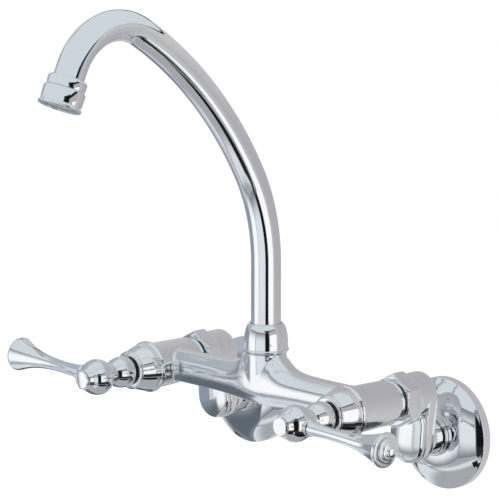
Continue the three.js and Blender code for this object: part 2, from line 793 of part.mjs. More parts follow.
// Stepped tip: three shrinking discs and a knob, screwed into the lever's end.
function leverTip(ball) {
  const base = leverReach + seat;
  return turned([
    [0, leverReach - tipSpigotLength],
    [tipSpigotRadius, leverReach - tipSpigotLength],
    [tipSpigotRadius, base],
    [0.74 * leverDisc, base],
    [0.74 * leverDisc, base + 0.8 * tipStep],
    [0.7 * leverDisc, base + tipStep],
    [0.53 * leverDisc, base + tipStep],
    [0.53 * leverDisc, base + 1.8 * tipStep],
    [0.49 * leverDisc, base + 2 * tipStep],
    [0.32 * leverDisc, base + 2 * tipStep],
    [0.32 * leverDisc, base + 3 * tipStep],
    [0.2 * leverDisc, base + 3.7 * tipStep],
    [0, base + 3.9 * tipStep],
  ], coarse).rotateY(Math.PI / 2).translate(0, 0, ball);
}

function handleScrew() {
  const head = solid(turned([
    [0, screwSeat - screwLength],
    [screwRadius, screwSeat - screwLength],
    [screwRadius, screwSeat + seat],
    [screwHeadRadius, screwSeat + seat],
    [screwHeadRadius, screwSeat + 2],
    [screwHeadRadius - 0.6, screwSeat + 2.6],
    [0, screwSeat + 2.6],
  ], 12));
  return cut(head, solid(new THREE.BoxGeometry(1, 3 * screwHeadRadius, 2).translate(0, 0, screwSeat + 2.6)));
}

function indexButton() {
  const plugEnd = faceFront + seat - buttonPlug;
  return turned([
    [0, plugEnd],
    [screwHeadRadius, plugEnd],
    [screwHeadRadius, faceFront + seat],
    [hubFaceRadius - 0.4, faceFront + seat],
    [hubFaceRadius - 0.2, faceFront + seat + 0.5 * buttonThickness],
    [hubFaceRadius - 0.9, faceFront + seat + 0.85 * buttonThickness],
    [0, faceFront + seat + buttonThickness],
  ], coarse);
}

for (const [name, side] of [['left', -1], ['right', 1]]) {
  // Everything on one valve axis, drawn with +Z from the wall into the room and Y up.
  const axis = new THREE.Group();
  axis.position.set(side * valveX, 0, armDrop);
  axis.rotation.x = Math.PI / 2;
  faucet.add(axis);

  add(axis, `${name}_cartridge`, cartridgeBody(), brass);
  add(axis, `${name}_bonnet`, bonnet(), chrome);
  add(axis, `${name}_glide_ring`,
    sleeve(glideRadius, stemRadius + slip, bonnetFront + seat, glideFront), nylon);
  add(axis, `${name}_valve_stem`, valveStem(), brass);

  const handle = new THREE.Group();
  handle.rotation.z = (side < 0 ? Math.PI : 0) - radians(leverTilt);
  axis.add(handle);
  const { shape, ball } = leverHandle();
  add(handle, `${name}_lever`, shape, chrome);
  add(handle, `${name}_lever_tip`, leverTip(ball), chrome);
  add(handle, `${name}_handle_screw`, handleScrew(), steel);
  add(handle, `${name}_index_button`, indexButton(), chrome);

  add(axis, `${name}_union_nut`, unionNut(), chrome);
  const washerLow = stubEnd + seat;
  add(axis, `${name}_union_washer`,
    sleeve(tailFlangeRadius, unionPort, washerLow, washerLow + washerThickness), rubber);

  const arm = new THREE.Group();
  arm.rotation.z = -side * radians(armTurn);
  axis.add(arm);
  add(arm, `${name}_swing_arm`, swingArm(), chrome);
  add(arm, `${name}_arm_plug`, cut(
    solid(disc(plugRadius, armBack - 0.8, armBack + plugDepth)),
    solid(hexPrism(plugKey / Math.cos(radians(30)), armBack - 2, armBack + 2.5))
  ), chrome);

  const supply = new THREE.Group();
  supply.position.y = -armDrop;
  arm.add(supply);
  add(supply, `${name}_supply_coupling`, supplyCoupling(), chrome);
  add(supply, `${name}_wall_flange`, wallFlange(), chrome);
  add(supply, `${name}_neck_ring`, turnedRing([
    [couplingRadius + slip, flangeHeight + seat],
    [neckRingRadius - 0.5, flangeHeight + seat],
    [neckRingRadius, flangeHeight + seat + 0.7],
    [neckRingRadius - 0.7, flangeHeight + seat + 0.5 * neckRingLength],
    [neckRingRadius - 0.3, flangeHeight + seat + 0.75 * neckRingLength],
    [neckRingRadius - 0.9, flangeHeight + seat + neckRingLength],
    [couplingRadius + slip, flangeHeight + seat + neckRingLength],
  ]), chrome);
}

export default faucet;
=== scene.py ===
import math

import bmesh
import bpy
from mathutils import Matrix, Vector


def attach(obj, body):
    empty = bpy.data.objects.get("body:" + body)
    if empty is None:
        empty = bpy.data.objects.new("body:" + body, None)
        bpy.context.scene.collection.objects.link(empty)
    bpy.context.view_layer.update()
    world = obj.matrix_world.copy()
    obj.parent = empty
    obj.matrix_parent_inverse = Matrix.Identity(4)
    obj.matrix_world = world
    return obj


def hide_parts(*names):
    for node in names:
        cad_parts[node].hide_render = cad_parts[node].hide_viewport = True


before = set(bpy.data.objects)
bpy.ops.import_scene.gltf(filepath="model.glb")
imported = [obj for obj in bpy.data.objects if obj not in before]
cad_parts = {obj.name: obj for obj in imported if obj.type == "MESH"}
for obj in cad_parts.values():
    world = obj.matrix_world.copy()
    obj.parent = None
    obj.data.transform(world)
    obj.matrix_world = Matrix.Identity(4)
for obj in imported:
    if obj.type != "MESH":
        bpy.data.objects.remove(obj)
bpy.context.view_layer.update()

# The frame of the part: +X right, +Y into the wall, +Z up, the origin on the wall between the two inlets.
# Sizes in the dictionaries are in millimetres and degrees. Left and right are as seen from the room.
mm = 0.001
valveX = 101.6           # valve axis from the middle
valveHeight = 33.0       # valve axis above the middle of the supplies
columnToWall = 87.0
armDrop = 33.0           # valve axis to supply axis
armTurn = 5.0            # both swing arms lean inwards
leverTilt = 2.7          # both levers lean clockwise, seen from the room
roomward = Vector((0, -1, 0))
rightward = Vector((1, 0, 0))
upward = Vector((0, 0, 1))
columnFoot = Vector((0, -columnToWall, valveHeight))   # where the spout's axis crosses the bridge
sides = {"left": -1, "right": 1}


def sizesOf(size, names):
    return [size[name] for name in names.split()]


def valveFoot(side):
    # where a valve's axis meets the wall
    return Vector((side * valveX, 0, valveHeight))


def deselectAll():
    if bpy.context.object and bpy.context.object.mode != "OBJECT":
        bpy.ops.object.mode_set(mode="OBJECT")
    bpy.ops.object.select_all(action="DESELECT")


def pick(*pieces):
    deselectAll()
    for piece in pieces:
        piece.select_set(True)
    bpy.context.view_layer.objects.active = pieces[-1]


def settle(piece):
    # the place goes into the mesh, the object stays at the origin
    pick(piece)
    bpy.ops.object.transform_apply(location=True, rotation=True, scale=True)


def smooth(piece, angle=35):
    pick(piece)
    bpy.ops.object.shade_smooth_by_angle(angle=math.radians(angle))


def applied(piece, kind, **settings):
    pick(piece)
    modifier = piece.modifiers.new(kind.title(), kind)
    for key, value in settings.items():
        setattr(modifier, key, value)
    bpy.ops.object.modifier_apply(modifier=modifier.name)


def roundEdges(piece, width, angle=28, segments=3):
    applied(piece, "BEVEL", width=width * mm, segments=segments, limit_method="ANGLE",
            angle_limit=math.radians(angle), use_clamp_overlap=True, harden_normals=False)


def softened(piece, width):
    roundEdges(piece, width)
    smooth(piece)
    return piece


def editAll(kind):
    # edit mode with every vertex, edge or face selected
    bpy.ops.object.mode_set(mode="EDIT")
    bpy.ops.mesh.select_mode(type=kind)
    bpy.ops.mesh.select_all(action="SELECT")


def extruded(step):
    bpy.ops.mesh.extrude_region_move(TRANSFORM_OT_translate={"value": step})


def selectWhere(piece, test):
    # selects vertices of the piece in edit mode by their place, in millimetres
    mesh = bmesh.from_edit_mesh(piece.data)
    place = piece.matrix_world
    for part in (*mesh.faces, *mesh.edges):
        part.select = False
    for vertex in mesh.verts:
        vertex.select = bool(test((place @ vertex.co) / mm))
    mesh.select_flush(True)
    bmesh.update_edit_mesh(piece.data)


def cleaned():
    # merges doubled vertices of the piece in edit mode, turns its faces outward and leaves edit mode
    bpy.ops.mesh.select_all(action="SELECT")
    bpy.ops.mesh.remove_doubles(threshold=2e-6)
    bpy.ops.mesh.normals_make_consistent(inside=False)
    bpy.ops.object.mode_set(mode="OBJECT")


def turned(name, foot, axis, profile, around=96, hollow=False):
    # A circle that is extruded and resized ring by ring along an axis. profile is [radius, distance along].
    # A hollow one has no end faces, and no band between its last ring and its first.
    foot, axis = Vector(foot) * mm, Vector(axis)
    leastChange, leastRadius = 1e-6, 1e-3
    radius, along = profile[0]
    deselectAll()
    bpy.ops.mesh.primitive_circle_add(
        vertices=around, radius=radius * mm, fill_type="NOTHING" if hollow else "NGON",
        location=foot + axis * along * mm, rotation=upward.rotation_difference(axis).to_euler())
    piece = bpy.context.object
    piece.name = name
    editAll("EDGE" if hollow else "FACE")
    for newRadius, newAlong in profile[1:]:
        extruded(axis * (newAlong - along) * mm)
        if abs(newRadius - radius) > leastChange:
            share = max(newRadius, leastRadius) / max(radius, leastRadius)
            centre = foot + axis * newAlong * mm
            bpy.ops.transform.resize(value=(share, share, share), center_override=centre)
        radius, along = newRadius, newAlong
    bpy.ops.mesh.select_mode(type="VERT")
    cleaned()
    settle(piece)
    return piece


def arc(centreRadius, centreAlong, radius, start, end, steps=10):
    # points of a part circle in a profile, in degrees
    points = []
    for i in range(steps + 1):
        angle = math.radians(start + (end - start) * i / steps)
        points.append((centreRadius + radius * math.cos(angle), centreAlong + radius * math.sin(angle)))
    return points


def joined(name, *pieces):
    pick(*pieces[1:], pieces[0])
    bpy.ops.object.join()
    pieces[0].name = name
    pieces[0].data.name = name
    return pieces[0]


def copied(piece, name, shift=(0, 0, 0), turn=0.0, about=(0, 0, 0)):
    # a copy with its own mesh, turned about an axis along Y, then shifted
    pick(piece)
    bpy.ops.object.duplicate(linked=False)
    copy = bpy.context.object
    copy.name = name
    copy.data.name = name
    centre = Matrix.Translation(Vector(about) * mm)
    copy.matrix_world = (Matrix.Translation(Vector(shift) * mm) @ centre
                         @ Matrix.Rotation(math.radians(turn), 4, "Y") @ centre.inverted())
    settle(copy)
    return copy


def finishPiece(piece, body, material, *nodes, slotName="chrome"):
    # without a material the piece keeps those that it already has
    if material:
        piece.data.materials.clear()
        piece.data.materials.append(material)
    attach(piece, body)
    if nodes:
        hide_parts(*nodes)


def onBothValves(left, node):
    # a fixed piece of the left valve and its copy on the right one
    right = copied(left, left.name.replace("left", "right"), shift=(2 * valveX, 0, 0))
    finishPiece(left, "body", chrome, "left_" + node)
    finishPiece(right, "body", chrome, "right_" + node)


def turnedOnBothValves(part, home, turns, body, node, material):
    # a piece modelled at its home valve: a copy at the other valve and one at home, each with its own turn
    away = "left" if home == "right" else "right"
    centre = valveFoot(sides[home])
    homeTurn, awayTurn = turns
    other = copied(part, part.name.replace(home, away), shift=(-2 * sides[home] * valveX, 0, 0),
                   turn=awayTurn, about=centre)
    finishPiece(other, away + "_" + body, material, away + "_" + node)
    here = copied(part, part.name, turn=homeTurn, about=centre)
    bpy.data.objects.remove(part)
    here.name = other.name.replace(away, home)
    finishPiece(here, home + "_" + body, material, home + "_" + node)


def linear(code):
    values = [int(code[i:i + 2], 16) / 255 for i in (1, 3, 5)]
    return tuple(v / 12.92 if v <= 0.04045 else ((v + 0.055) / 1.055) ** 2.4 for v in values) + (1.0,)


def addNode(tree, kind, links=None, **settings):
    # one node with its settings, and links given as {input: (node, output)}
    node = tree.nodes.new(kind)
    for key, value in settings.items():
        if key in node.inputs:
            node.inputs[key].default_value = value
        else:
            setattr(node, key, value)
    for key, (source, output) in (links or {}).items():
        tree.links.new(source.outputs[output], node.inputs[key])
    return node


mixSockets = {"low": 6, "high": 7, "result": 2}   # the colour sockets of a Mix node


def twoTones(tree, factor, low, high):
    tone = addNode(tree, "ShaderNodeMix", {"Factor": factor}, data_type="RGBA")
    tone.inputs[mixSockets["low"]].default_value = low
    tone.inputs[mixSockets["high"]].default_value = high
    return tone


def noise(tree, place, grain, **settings):
    # noise on object coordinates, its grain in millimetres
    return addNode(tree, "ShaderNodeTexNoise", {"Vector": (place, "Object")},
                   **{"Scale": 1 / (grain * mm), **settings})


def newMaterial(name):
    material = bpy.data.materials.new(name)
    material.use_nodes = True
    tree = material.node_tree
    return material, tree, tree.nodes["Principled BSDF"]


def wired(tree, shader, tone, gloss, bump, metallic):
    tree.links.new(tone.outputs[mixSockets["result"]], shader.inputs["Base Color"])
    tree.links.new(gloss.outputs["Result"], shader.inputs["Roughness"])
    tree.links.new(bump.outputs["Normal"], shader.inputs["Normal"])
    shader.inputs["Metallic"].default_value = metallic


# Chromium plated over brass: a near-mirror with a cold tint. Buffing leaves slow waves of some 12 mm that
# bend reflections a little, and a haze of fine hairlines that only changes the gloss. Turned pieces and the
# drawn tube are crisp, castings were buffed by hand, so their reflections have softer edges.
chromeLook = {"tint": "#F3F5F7", "haze": "#E9ECF0", "wave": 12.0, "cloud": 36.0, "hairline": 0.5,
              "waveDepth": 0.4,
              "turned": ((0.03, 0.06), 0.05),   # roughness from and to, share of the waves
              "cast": ((0.10, 0.15), 0.12)}


def platedChrome(name, surface):
    look = chromeLook
    (low, high), waviness = look[surface]
    material, tree, shader = newMaterial(name)
    place = addNode(tree, "ShaderNodeTexCoord")
    wave = noise(tree, place, look["wave"], Detail=1.0, Roughness=0.4)
    cloud = noise(tree, place, look["cloud"], Detail=3.0, Roughness=0.5)
    hairline = noise(tree, place, look["hairline"], Detail=2.0, Roughness=0.6)
    tone = twoTones(tree, (cloud, "Fac"), linear(look["haze"]), linear(look["tint"]))
    gloss = addNode(tree, "ShaderNodeMapRange", {"Value": (hairline, "Fac")},
                    **{"From Min": 0.3, "From Max": 0.7, "To Min": low, "To Max": high})
    bump = addNode(tree, "ShaderNodeBump", {"Height": (wave, "Fac")},
                   Strength=waviness, Distance=look["waveDepth"] * mm)
    wired(tree, shader, tone, gloss, bump, metallic=1.0)
    return material


brassLook = {"dark": "#B8924A", "light": "#D0AC64", "bands": 398.09, "distortion": 0.6, "roughness": 0.28}


def turnedBrass():
    # machined bar: fine turning marks some 0.8 mm apart that ring the pieces on the valve axes
    look = brassLook
    material, tree, shader = newMaterial("turnedBrass")
    place = addNode(tree, "ShaderNodeTexCoord")
    marks = addNode(tree, "ShaderNodeTexWave", {"Vector": (place, "Object")}, wave_type="BANDS",
                    bands_direction="Y", Scale=look["bands"], Distortion=look["distortion"])
    tone = twoTones(tree, (marks, "Fac"), linear(look["dark"]), linear(look["light"]))
    tree.links.new(tone.outputs[mixSockets["result"]], shader.inputs["Base Color"])
    shader.inputs["Metallic"].default_value = 1.0
    shader.inputs["Roughness"].default_value = look["roughness"]
    return material


grainRelief = {"glossSpread": 0.06, "strength": 0.3, "depth": 0.03}


def grained(name, dark, light, grain, roughness, metallic=0.0):
    # a moulded or rolled surface: two close tones in grains of one size, and the same grains as relief
    spread = grainRelief["glossSpread"]
    material, tree, shader = newMaterial(name)
    place = addNode(tree, "ShaderNodeTexCoord")
    grains = noise(tree, place, grain, Detail=2.0)
    tone = twoTones(tree, (grains, "Fac"), linear(dark), linear(light))
    gloss = addNode(tree, "ShaderNodeMapRange", {"Value": (grains, "Fac")},
                    **{"To Min": roughness - spread, "To Max": roughness + spread})
    bump = addNode(tree, "ShaderNodeBump", {"Height": (grains, "Fac")},
                   Strength=grainRelief["strength"], Distance=grainRelief["depth"] * mm)
    wired(tree, shader, tone, gloss, bump, metallic)
    return material


chrome = platedChrome("chromePlatedTurnedBrass", "turned")
castChrome = platedChrome("chromePlatedCastBrass", "cast")
brass = turnedBrass()
# rolled stainless steel: a light grey with a satin gloss, for the hidden screws
steel = grained("rolledStainlessSteel", "#A9ACB0", "#C4C7CA", 0.6, 0.26, metallic=1.0)
# pressed nitrile rubber: nearly black and dull, with a faint talc bloom
rubber = grained("mouldedNitrileRubber", "#121213", "#232324", 0.8, 0.68)
# moulded glass-filled nylon: black with a low sheen
nylon = grained("mouldedNylon", "#101113", "#1E1F22", 0.5, 0.42)
# moulded acetal: greyish white, slightly waxy
acetal = grained("mouldedAcetal", "#C9CCCE", "#DFE1E2", 0.7, 0.38)
print("stage: materials")


bridgeSize = {"armRadius": 12.2, "neckRadius": 15.0, "neckTop": 24.3, "neckFlare": 8.5,
              "bellySag": 3.3, "bellySpread": 30.0,
              "rings": 32, "crowding": 1.6,            # on each side, closer together at the column
              "voxel": 0.65, "smoothing": (0.5, 12)}   # the skin's grid, strength and rounds of smoothing


def bridgeSection(x):
    # half height above and below the valve axis, and half depth, at x from the column
    size = bridgeSize
    swelling = math.exp(-(x / size["bellySpread"]) ** 2)
    fall = math.exp(-max(abs(x) - size["neckRadius"], 0) / size["neckFlare"])
    top = size["armRadius"] + (size["neckTop"] - size["armRadius"]) * fall
    bottom = size["armRadius"] + size["bellySag"] * swelling
    depth = size["armRadius"] + (size["neckRadius"] - size["armRadius"]) * swelling
    return top, bottom, depth


def bridgeArms():
    # one oval bar along X: every ring is extruded, then its upper half, lower half and depth are resized
    rings = bridgeSize["rings"]
    stations = [valveX * math.copysign(abs(i / rings) ** bridgeSize["crowding"], i)
                for i in range(-rings, rings + 1)]
    centre = columnFoot * mm
    deselectAll()
    bpy.ops.mesh.primitive_circle_add(
        vertices=64, radius=bridgeSection(stations[0])[0] * mm, fill_type="NGON",
        location=centre + rightward * stations[0] * mm,
        rotation=upward.rotation_difference(rightward).to_euler())
    bar = bpy.context.object
    bar.name = "castBridge"
    settle(bar)
    editAll("FACE")
    for before, x in zip(stations, stations[1:]):
        oldTop, oldBottom, oldDepth = bridgeSection(before)
        top, bottom, depth = bridgeSection(x)
        extruded(rightward * (x - before) * mm)
        mesh = bmesh.from_edit_mesh(bar.data)
        for vertex in [v for v in mesh.verts if v.select]:
            offset = vertex.co - centre
            offset.y *= depth / oldDepth
            offset.z *= top / oldTop if offset.z > 0 else bottom / oldBottom
            vertex.co = centre + offset
        bmesh.update_edit_mesh(bar.data)
    cleaned()
    return bar


barrelSize = {"front": 107.0, "rear": 68.0, "frontRadius": 16.8, "rearRadius": 16.0,
              "frontChamfer": 0.4, "rearChamfer": (0.5, 0.6), "edge": 0.25}
# turned ends, each of them sunk a little into the casting
threadSize = {"radius": 13.4, "bore": 11.5, "length": 11.7, "sunk": 2.0}
tailSize = {"end": 57.8, "radius": 12.0, "bore": 8.0, "flange": (14.2, 2.6),
            "shoulder": 14.8, "shoulderLength": 3.6, "groove": 0.7, "sunk": 1.5}
noseSize = {"radius": 14.4, "bore": 11.8, "length": 6.0, "sunk": 2.0}


def bodyCasting():
    size = barrelSize
    neck = bridgeSize["neckRadius"]
    column = turned("castColumn", columnFoot, upward, [(neck, 0), (neck, bridgeSize["neckTop"])])
    parts = [bridgeArms(), column]
    front, rear, wide, slim = sizesOf(size, "front rear frontRadius rearRadius")
    chamfer, (narrower, longer) = size["frontChamfer"], size["rearChamfer"]
    for name, side in sides.items():
        parts.append(turned(name + "CastBarrel", valveFoot(side), roomward,
                            [(slim - narrower, rear), (slim, rear + longer),
                             (wide, front - chamfer), (wide - chamfer, front)]))
    casting = joined("bodyCasting", *parts)
    strength, rounds = bridgeSize["smoothing"]
    applied(casting, "REMESH", mode="VOXEL", voxel_size=bridgeSize["voxel"] * mm, adaptivity=0.0)
    applied(casting, "SMOOTH", factor=strength, iterations=rounds)
    bpy.ops.object.shade_smooth()
    return casting


def bodyTurning():
    # the spout's thread, and on each barrel a grooved shoulder with the nut's seat and the bonnet's thread
    thread, tail, nose = threadSize, tailSize, noseSize
    low, high = bridgeSize["neckTop"] - thread["sunk"], bridgeSize["neckTop"] + thread["length"]
    ends = [turned("spoutThread", columnFoot, upward,
                   [(thread["radius"], low), (thread["radius"], high),
                    (thread["bore"], high), (thread["bore"], low)], hollow=True)]
    rear = barrelSize["rear"]
    seat, quarter = rear - tail["shoulderLength"], tail["shoulderLength"] / 4
    flangeRadius, flangeThick = tail["flange"]
    end, flangeFront = tail["end"], tail["end"] + flangeThick
    low, high = barrelSize["front"] - nose["sunk"], barrelSize["front"] + nose["length"]
    for name, side in sides.items():
        ends.append(turned(name + "BarrelTail", valveFoot(side), roomward,
                           [(tail["bore"], end), (flangeRadius, end), (flangeRadius, flangeFront),
                            (tail["radius"], flangeFront), (tail["radius"], seat),
                            (tail["shoulder"], seat), (tail["shoulder"], seat + quarter),
                            (tail["shoulder"] - tail["groove"], seat + 2 * quarter),
                            (tail["shoulder"], seat + 3 * quarter), (tail["shoulder"], rear + tail["sunk"]),
                            (tail["bore"], rear + tail["sunk"])], hollow=True))
        ends.append(turned(name + "BonnetThread", valveFoot(side), roomward,
                           [(nose["bore"], low), (nose["radius"], low),
                            (nose["radius"], high), (nose["bore"], high)], hollow=True))
    turning = joined("bodyTurning", *ends)
    return softened(turning, barrelSize["edge"])


casting = bodyCasting()
faucetBody = joined("faucetBody", casting, bodyTurning())
finishPiece(faucetBody, "body", castChrome, "faucet_body")
print("stage: body")


tubeSize = {"radius": 10.8, "wall": 1.4, "foot": 39.2, "straightTop": 89.0, "tail": 12.2,
            "bends": ((140.0, 29.0), (295.0, 29.3), (43.7, 97.0)),   # radius and angle, from below
            "degreesPerStep": 2.0, "leastSteps": 6, "smoothBelow": 30}
nutSize = {"bottom": 24.6, "height": 20.7, "radius": 16.3, "thread": 13.8, "bore": 11.2, "roof": 4.0,
           "bead": 0.4, "beadInset": 0.5, "beadAt": 1.3, "waist": (0.35, 2.7),
           "rim": 11.8, "domeInset": 0.3, "domeFoot": 4.4, "domeStop": 0.6, "domeAngles": (10, 83, 6),
           "edge": 0.2}


def spoutTube():
    # a ring drawn up straight, then spun round the centre of each bend
    size = tubeSize
    place = Vector((0, -columnToWall, valveHeight + size["foot"])) * mm
    deselectAll()
    bpy.ops.mesh.primitive_circle_add(vertices=96, radius=size["radius"] * mm, fill_type="NOTHING",
                                      location=place)
    tube = bpy.context.object
    tube.name = "spoutTube"
    settle(tube)
    editAll("EDGE")
    rise = upward * (size["straightTop"] - size["foot"]) * mm
    extruded(rise)
    end, heading = place + rise, 0.0
    for radius, degrees in size["bends"]:
        inward = Vector((0, -math.cos(heading), -math.sin(heading)))
        centre = end + inward * radius * mm
        turn = math.radians(degrees)
        bpy.ops.mesh.spin(steps=max(size["leastSteps"], round(degrees / size["degreesPerStep"])),
                          angle=-turn, center=centre, axis=(1, 0, 0))
        end = centre + Matrix.Rotation(turn, 3, "X") @ (end - centre)
        heading += turn
    along = Vector((0, -math.sin(heading), math.cos(heading)))
    extruded(along * size["tail"] * mm)
    end += along * size["tail"] * mm
    cleaned()
    applied(tube, "SOLIDIFY", thickness=size["wall"] * mm, offset=-1.0, use_even_offset=True)
    smooth(tube, size["smoothBelow"])
    finishPiece(tube, "spout", chrome, "spout_tube")
    return end / mm, along


def spoutNut():
    # a beaded band, a narrow waist and a high dome over the spout's swivel flange
    size = nutSize
    low, high, wide = size["bottom"], size["bottom"] + size["height"], size["radius"]
    domeTop, inset = high - size["domeStop"], size["beadInset"]
    rise = domeTop - low - size["domeFoot"]
    overhang = wide - size["rim"] - size["domeInset"]
    dome = [(size["rim"] + overhang * math.cos(a), domeTop - rise + rise * math.sin(a))
            for a in map(math.radians, range(*size["domeAngles"]))]
    narrower, waistAt = size["waist"]
    nut = turned("spoutNut", columnFoot, upward,
                 [(size["thread"], low), (wide - inset, low),
                  *arc(wide - inset, low + size["beadAt"], inset + size["bead"], -75, 75, 8),
                  (wide - narrower, low + waistAt), *dome, (size["rim"], high),
                  (size["bore"], high), (size["bore"], high - size["roof"]),
                  (size["thread"], high - size["roof"])], hollow=True)
    softened(nut, size["edge"])
    finishPiece(nut, "body", chrome, "spout_nut")


tubeEnd, tubeHeading = spoutTube()
spoutNut()
print("stage: spout", [round(v, 2) for v in tubeEnd])


# the collar grips the tube's end, and its skirt stands over the housing's thread
collarSize = {"radius": 13.8, "grip": 5.0, "skirt": 2.6, "fit": 11.1, "edge": 0.2,
              "shoulder": 1.8, "shoulderInset": 1.6, "shoulderAt": 2.0, "taper": (0.5, 0.6),
              "thread": (12.6, 5.0), "stop": (9.4, 0.3)}
housingSize = {"radius": 14.8, "length": 13.3, "gap": 0.3, "wall": 1.6, "bore": 12.9, "mouth": 1.4,
               "edge": 0.2, "shoulder": 0.9, "shoulderInset": 0.8, "widest": 0.45,
               "taper": ((0.3, 4.6), (0.7, 3.0)),   # narrowing, and distance from the mouth
               "bead": 0.7, "beadRound": 1.1, "beadAt": 1.3}


def outletCollar():
    size = collarSize
    wide, grip, skirt, fit, soft = sizesOf(size, "radius grip skirt fit shoulder")
    (thread, threadLength), (stop, stopAt), (taper, taperAt) = sizesOf(size, "thread stop taper")
    collar = turned("outletCollar", tubeEnd, tubeHeading,
                    [(fit, -grip), (wide - size["shoulderInset"], -grip),
                     *arc(wide - soft, size["shoulderAt"] - grip, soft, -60, 0, 6),
                     (wide, -taperAt), (wide - taper, skirt), (thread, skirt), (thread, skirt + threadLength),
                     (stop, skirt + threadLength), (stop, stopAt), (fit, stopAt)], hollow=True)
    softened(collar, size["edge"])
    finishPiece(collar, "spout", chrome, "outlet_collar")


def aeratorHousing():
    size = housingSize
    wide, bore, soft, bead = sizesOf(size, "radius bore shoulder beadRound")
    low = collarSize["skirt"] + size["gap"]
    high = low + size["length"]
    inner = high - size["wall"]
    housing = turned("aeratorHousing", tubeEnd, tubeHeading,
                     [(bore, low), (wide - size["shoulderInset"], low),
                      *arc(wide - soft, low + soft, soft, -60, 0, 4),
                      (wide, low + size["widest"] * size["length"]),
                      *((wide - narrower, high - back) for narrower, back in size["taper"]),
                      *arc(wide + size["bead"] - bead, high - size["beadAt"], bead, -60, 80, 8),
                      (bore - size["mouth"], high), (bore - size["mouth"], inner), (bore, inner)],
                     hollow=True)
    softened(housing, size["edge"])
    finishPiece(housing, "spout", chrome, "aerator_housing")


outletCollar()
aeratorHousing()
print("stage: outlet")


bonnetSize = {"rear": 107.3, "front": 128.0, "radius": 18.9, "chamfer": 0.5, "thread": (14.7, 113.3),
              "band": 1.6, "round": 2.2, "roundAngles": (4, 60), "belly": 0.45, "coneSteps": 12,
              "coneFront": 14.1, "lip": 13.0, "lipLength": 4.4, "lipStep": 0.4, "lipInset": 1.2,
              "lipRound": 2.6, "roof": 4.0, "bore": 9.7, "stemHole": 4.4, "edge": 0.2}


def bonnet():
    size = bonnetSize
    rear, front, wide, lip = sizesOf(size, "rear front radius lip")
    shoulder, coneFront = rear + size["band"], front - size["lipLength"]
    # a straight flare with a slight belly that rounds over at its wide end
    cone = arc(wide - size["round"], shoulder, size["round"], *size["roundAngles"], 8)
    (startRadius, start), slim = cone[-1], size["coneFront"]
    for i in range(size["coneSteps"]):
        t = (i + 1) / size["coneSteps"]
        cone.append((startRadius + (slim - startRadius) * t + size["belly"] * math.sin(math.pi * t),
                     start + (coneFront - start) * t))
    beadAt, chamfer, roof = front - size["lipRound"], size["chamfer"], front - size["roof"]
    bead = arc(lip - size["lipInset"], beadAt, size["lipRound"], 25, 88, 8)
    thread, threadEnd = size["thread"]
    piece = turned("leftBonnet", valveFoot(-1), roomward,
                   [(thread, rear), (wide - chamfer, rear), (wide, rear + chamfer), *cone,
                    (lip + size["lipStep"], beadAt), *bead, (size["stemHole"], front),
                    (size["stemHole"], roof), (size["bore"], roof),
                    (size["bore"], threadEnd), (thread, threadEnd)], hollow=True)
    return softened(piece, size["edge"])


# hub, about the valve's axis, from the black ring to the button
hubSize = {"rear": 130.0, "stem": 4.3, "neck": 7.7, "ball": 13.0, "ballAhead": 29.0,
           "bulb": (10.4, 2.1, 15.2), "bulbPower": 2.4, "bulbSteps": 16,   # radius of the foot, swell, length
           "face": 7.0, "faceAhead": 42.6, "faceFillet": 1.4, "faceStep": (0.6, 1.2),
           "screwHole": (4.5, 10.0), "edge": 0.25}
# arm, about an axis along X through the ball, from a bead at the ball to the flared disc
leverSize = {"reach": 86.0, "bead": 6.3, "beadInset": 1.0, "beadRound": 0.9, "beadFrom": 0.6, "beadAt": 1.8,
             "root": 5.3, "rootFrom": 3.2, "rootTo": 4.4, "waist": 4.2, "waistAt": 0.38,
             "taper": (0.3, 0.75), "flarePower": 2.6, "flareSteps": 20,
             "disc": 12.3, "discEdge": 2.0, "discRound": 1.3, "pit": 2.6, "edge": 0.2, "around": 80}
# tip: three steps as shares of the disc, then a low crown, its heights counted in steps
tipSize = {"gap": 0.3, "step": 1.7, "round": 1.25, "foot": 0.2, "shares": (0.74, 0.53, 0.32),
           "crown": ((0.3, 3.3), (0.24, 3.62), (0.14, 3.82), (0.04, 3.9)), "edge": 0.15}
buttonSize = {"gap": 0.4, "profile": ((0.0, 0.3), (0.2, 1.2), (-0.5, 1.85), (-2.0, 2.0)), "top": (0.5, 2.1)}


def leverHub():
    size = hubSize
    rear, neck, ball, face, stem = sizesOf(size, "rear neck ball face stem")
    ballAt, front = rear + size["ballAhead"], rear + size["faceAhead"]
    foot, swell, length = size["bulb"]
    bulb = []
    for i in range(size["bulbSteps"] + 1):
        t = i / size["bulbSteps"]
        fullness = 1 - abs(2 * t - 1) ** size["bulbPower"]
        bulb.append((foot + (neck - foot) * t + swell * fullness, rear + length * t))
    ballStart = math.degrees(math.acos(neck / ball))
    ballEnd = math.degrees(math.acos((face + size["faceFillet"]) / ball))
    (stepOut, stepBack), (screwHole, screwDepth) = size["faceStep"], size["screwHole"]
    hub = turned("rightLever", valveFoot(1), roomward,
                 [(stem, rear), *bulb, *arc(0, ballAt, ball, -ballStart, ballEnd, 24),
                  (face + stepOut, front - stepBack), (face, front), (screwHole, front),
                  (screwHole, front - screwDepth), (stem, front - screwDepth)], hollow=True)
    roundEdges(hub, size["edge"])
    return hub


